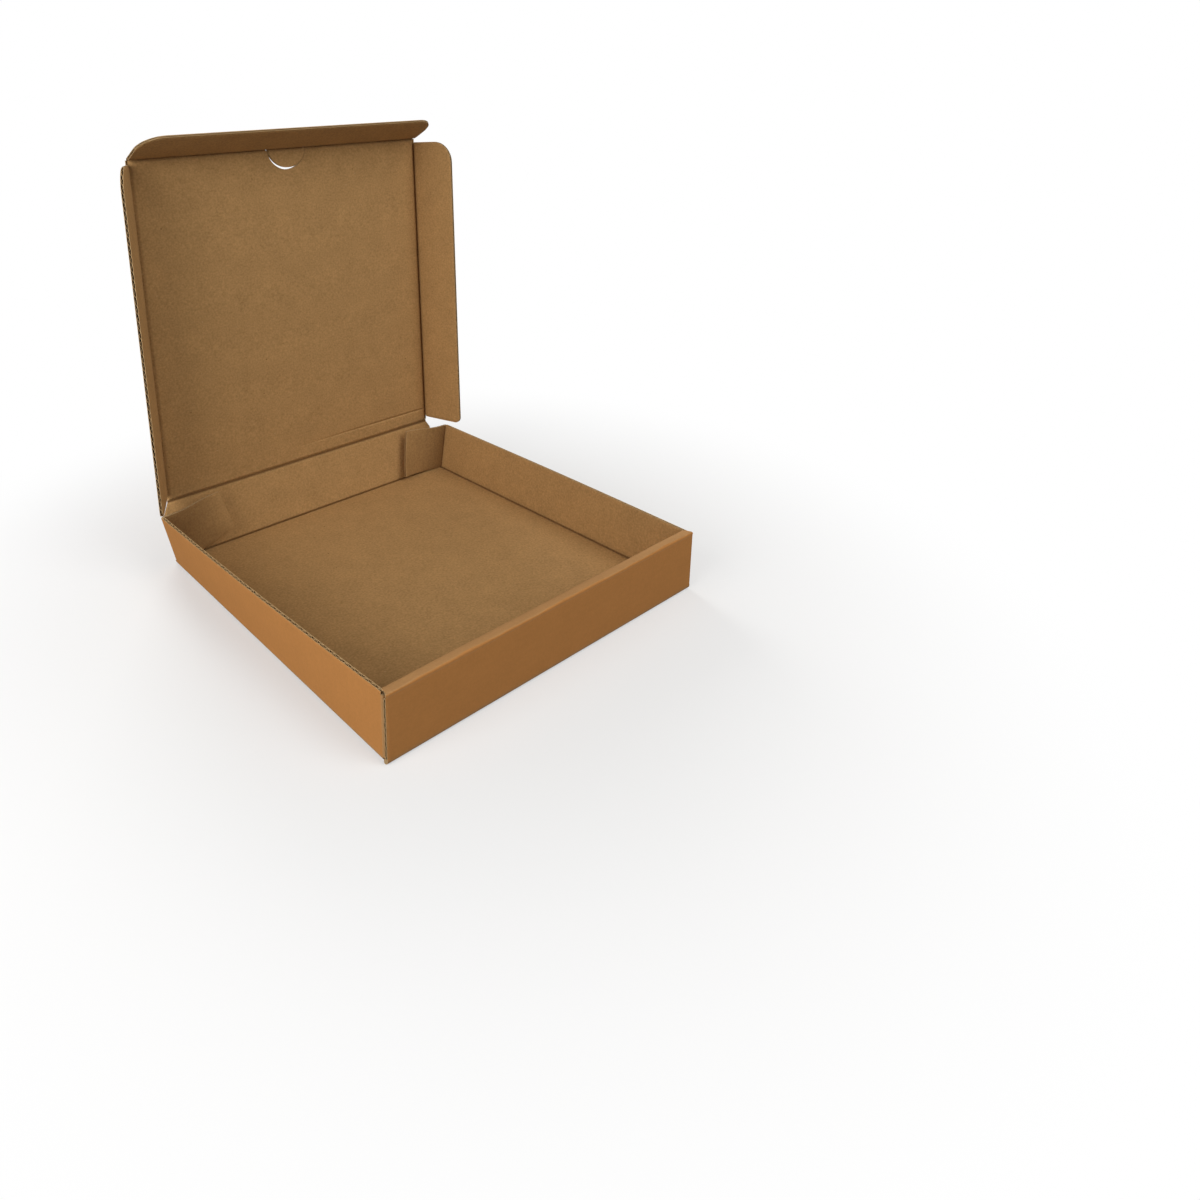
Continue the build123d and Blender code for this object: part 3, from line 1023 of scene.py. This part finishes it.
class PIZZABOX_OT_creases(bpy.types.Operator):
    """Bridge the hinged creases with crushed strips"""

    bl_idname = "pizza_box.creases"
    bl_label = "Creases"

    def execute(self, context):
        stock, _, lid = groups()
        rear_up, rear_out = rear_axes()
        up, out = lid_axes()
        deep, mid = -stock.crushed, stock.crushed / 2
        half, overlap = lid.panel_half, 0.5 * MM
        moon, flap_start = lid.moon_radius - overlap, stock.crease + overlap
        tab_end = lid.tab_half - lid.tab_trim
        whole = (stops(-half, half, STRIP_STEP),)
        halves = (stops(-half, -moon, STRIP_STEP), stops(moon, half, STRIP_STEP))
        foot = (stops(-lid.rear_right, lid.rear_right, STRIP_STEP),)
        flap = (stops(flap_start, lid.lid_length - flap_start, STRIP_STEP),)
        tab = (np.linspace(-tab_end, tab_end, 9),)
        tuck = folded(up, out, lid.tuck_fold)
        left, right = (
            ((-side * X_AXIS, out), folded(side * X_AXIS, out, turn))
            for side, turn in ((-1, lid.left_fold), (1, lid.right_fold))
        )
        for name, joint, bodies, along, runs, panel_a, panel_b, top, bottom in (
            ("rear_foot_crease", "rear_wall_fold", ("tray", "rear_wall"), X_AXIS, foot,
             (-Y_AXIS, -Z_AXIS), (rear_up, rear_out), 0, deep),
            ("lid_hinge_crease", "lid_hinge", ("rear_wall", "lid_panel"), X_AXIS, whole,
             (-rear_up, rear_out), (up, out), mid, -mid),
            ("left_flap_crease", "lid_left_flap_fold", ("lid_panel", "lid_left_flap"), up, flap,
             *left, 0, deep),
            ("right_flap_crease", "lid_right_flap_fold", ("lid_panel", "lid_right_flap"), up, flap,
             *right, 0, deep),
            ("tuck_crease", "tuck_flap_fold", ("lid_panel", "tuck_flap"), X_AXIS, halves,
             (-up, out), tuck, 0, deep),
            ("thumb_tab_crease", "thumb_tab_fold", ("tuck_flap", "thumb_tab"), X_AXIS, tab,
             tuck, tab_axes(), 0, deep),
        ):
            origin = joint_point(joint)
            across_flutes = along is X_AXIS
            sheets = [fold(origin, along, u, panel_a, panel_b, top, bottom, across_flutes) for u in runs]
            start, end = origin + stock.crease * panel_a[0], origin + stock.crease * panel_b[0]
            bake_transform(piece(name, sheets), *bodies, start=tuple(start), end=tuple(end))
        return {"FINISHED"}


def seen_rays(tree):
    """One for rays that the eye follows, straight, in a gloss or through glass; zero for light's bounces."""
    rays = add(tree, "LightPath")
    gloss, glass = rays["Is Glossy Ray"], rays["Is Transmission Ray"]
    mirrored = add(tree, "Math", {0: gloss, 1: glass}, operation="ADD")[0]
    return add(tree, "Math", {0: rays["Is Camera Ray"], 1: mirrored}, operation="ADD", use_clamp=True)[0]


def studio_paper():
    """Pale matt paper of the stage: it holds the box's soft shadow and fades to plain white further out."""
    finish = bpy.context.scene.pizza_box.finish
    material = bpy.data.materials.new("studio_floor_paper")
    tree = empty_tree(material)
    seen = seen_rays(tree)
    bounce, pale = (*(finish.bounce,) * 3, 1), (*finish.floor, 1)
    tint = add(tree, "Mix", {"Factor": seen, "A": bounce, "B": pale}, data_type="RGBA")["Result"]
    matt = add(tree, "BsdfDiffuse", {"Color": tint})["BSDF"]
    place = add(tree, "TexCoord")["Object"]
    far = add(tree, "VectorMath", {0: place}, operation="LENGTH")["Value"]
    reach = {"Value": far, "From Min": 0.15, "From Max": 0.5, "To Min": 0.4}
    fade = add(tree, "MapRange", reach, interpolation_type="SMOOTHSTEP")["Result"]
    glow = add(tree, "Math", {0: fade, 1: seen}, operation="MULTIPLY")[0]
    white = add(tree, "Emission", {"Color": WHITE, "Strength": 1.0})["Emission"]
    add(tree, "OutputMaterial", {"Surface": add(tree, "MixShader", {0: glow, 1: matt, 2: white})["Shader"]})
    return material


def facing(back, place, roll=0.0):
    """Pose at a place that looks against the direction back, rolled about the line of sight."""
    right = unit(np.cross(Z_AXIS, back))
    up = np.cross(back, right)
    pose = np.eye(4)
    pose[:3, 0] = math.cos(roll) * right + math.sin(roll) * up
    pose[:3, 1] = math.cos(roll) * up - math.sin(roll) * right
    pose[:3, 2], pose[:3, 3] = back, place
    return Matrix(pose)


class PIZZABOX_OT_stage(bpy.types.Operator):
    """Set the pale floor, the soft lights and the camera"""

    bl_idname = "pizza_box.stage"
    bl_label = "Stage"

    def execute(self, context):
        scene = context.scene
        scene.view_settings.view_transform = "Standard"
        self.floor()
        self.lights(scene)
        self.camera(scene)
        return {"FINISHED"}

    @staticmethod
    def floor():
        """Flat disc in rings; the rings stand at even shares of the radius."""
        radius, sides, ring_count, inner_share = 3.0, 96, 12, 0.02
        turn = np.linspace(0, 2 * math.pi, sides + 1)[:-1]
        rings = np.linspace(inner_share, 1, ring_count)[:, None] * radius
        points = np.stack(np.broadcast_arrays(rings * np.cos(turn), rings * np.sin(turn), 0), -1)
        index = np.arange(ring_count * sides).reshape(ring_count, sides)
        after = np.roll(index, -1, axis=1)
        quads = np.stack([index[:-1], index[1:], after[1:], after[:-1]], -1).reshape(-1, 4)
        mesh = bpy.data.meshes.new("studio_floor")
        mesh.from_pydata(points.reshape(-1, 3).tolist(), [], quads.tolist() + [index[0].tolist()])
        mesh.materials.append(studio_paper())
        put("studio_floor", mesh)

    @staticmethod
    def lights(scene):
        """Near key low on the left, soft lights from left, front and above, and a far one from behind."""
        for name, place, target, size, power in (
            ("key_light", (-1.05, -0.25, 0.30), (-0.1, 0, 0.06), 0.7, 4.7),
            ("left_light", (-1.25, -0.15, 0.85), (0, 0, 0.12), 0.8, 7.6),
            ("front_light", (0.45, -1.3, 1.0), (0, 0, 0.12), 0.9, 7.3),
            ("top_light", (0.3, -0.8, 1.35), (0, 0.05, 0.1), 0.9, 6.8),
            ("back_light", (0.5, 1.7, 0.8), (0, 0.1, 0.2), 0.9, 20.0),
        ):
            lamp = bpy.data.lights.new(name, "AREA")
            lamp.size, lamp.energy = size, power
            put(name, lamp, facing(unit(np.array(place) - np.array(target)), place))
        scene.world = scene.world or bpy.data.worlds.new("studio_world")
        tree = empty_tree(scene.world)
        seen = seen_rays(tree)
        ambient = add(tree, "Background", {"Color": WHITE, "Strength": 0.03})["Background"]
        white = add(tree, "Background", {"Color": WHITE, "Strength": 1.0})["Background"]
        mixed = add(tree, "MixShader", {0: seen, 1: ambient, 2: white})["Shader"]
        add(tree, "OutputWorld", {"Surface": mixed})

    @staticmethod
    def camera(scene):
        """Camera at the photograph's place: angles in degrees, focal length and centre in pixels of 1200."""
        azimuth, elevation, roll = (math.radians(d) for d in (-36.86, 15.04, -1.71))
        place = (-0.4149, -0.5212, 0.4011)
        focal, centre_x, centre_y, pixels, sensor = 883.88, 390.61, 321.85, 1200.0, 36.0
        level_back = np.array([math.sin(azimuth), -math.cos(azimuth), 0])
        back = math.cos(elevation) * level_back + math.sin(elevation) * Z_AXIS
        lens = bpy.data.cameras.new("camera")
        lens.sensor_width, lens.lens = sensor, focal / pixels * sensor
        lens.shift_x, lens.shift_y = (pixels / 2 - centre_x) / pixels, (centre_y - pixels / 2) / pixels
        lens.clip_start = 0.01
        scene.camera = put("camera", lens, facing(back, place, roll))


OPERATORS = (
    PIZZABOX_OT_stage,
    PIZZABOX_OT_tray_floor,
    PIZZABOX_OT_tray_walls,
    PIZZABOX_OT_tray_front,
    PIZZABOX_OT_rear_wall,
    PIZZABOX_OT_lid,
    PIZZABOX_OT_lid_flaps,
    PIZZABOX_OT_tuck_flap,
    PIZZABOX_OT_thumb_tab,
    PIZZABOX_OT_creases,
)


class PIZZABOX_PT_panel(bpy.types.Panel):
    """Lists the pieces of the pizza box and their settings"""

    bl_idname = "PIZZABOX_PT_panel"
    bl_label = "Pizza Box"
    bl_space_type = "VIEW_3D"
    bl_region_type = "UI"
    bl_category = "Pizza Box"

    def draw(self, context):
        settings = context.scene.pizza_box
        for operator in OPERATORS:
            self.layout.operator(operator.bl_idname)
        for group in (settings.board, settings.tray, settings.lid, settings.finish):
            box = self.layout.box()
            for key in type(group).__annotations__:
                box.prop(group, key)


CLASSES = (
    BoardSettings,
    TraySettings,
    LidSettings,
    FinishSettings,
    PizzaBoxSettings,
    *OPERATORS,
    PIZZABOX_PT_panel,
)


def register():
    """Registers the classes and hangs the settings on the scene."""
    for cls in CLASSES:
        bpy.utils.register_class(cls)
    bpy.types.Scene.pizza_box = PointerProperty(type=PizzaBoxSettings)


def unregister():
    """Removes what register added."""
    del bpy.types.Scene.pizza_box
    for cls in reversed(CLASSES):
        bpy.utils.unregister_class(cls)


def main():
    """Builds the box piece by piece."""
    register()
    for operator in OPERATORS:
        group, name = operator.bl_idname.split(".")
        if getattr(getattr(bpy.ops, group), name)() != {"FINISHED"}:
            raise RuntimeError(f"{operator.bl_label} was not built")


if __name__ == "__main__":
    main()
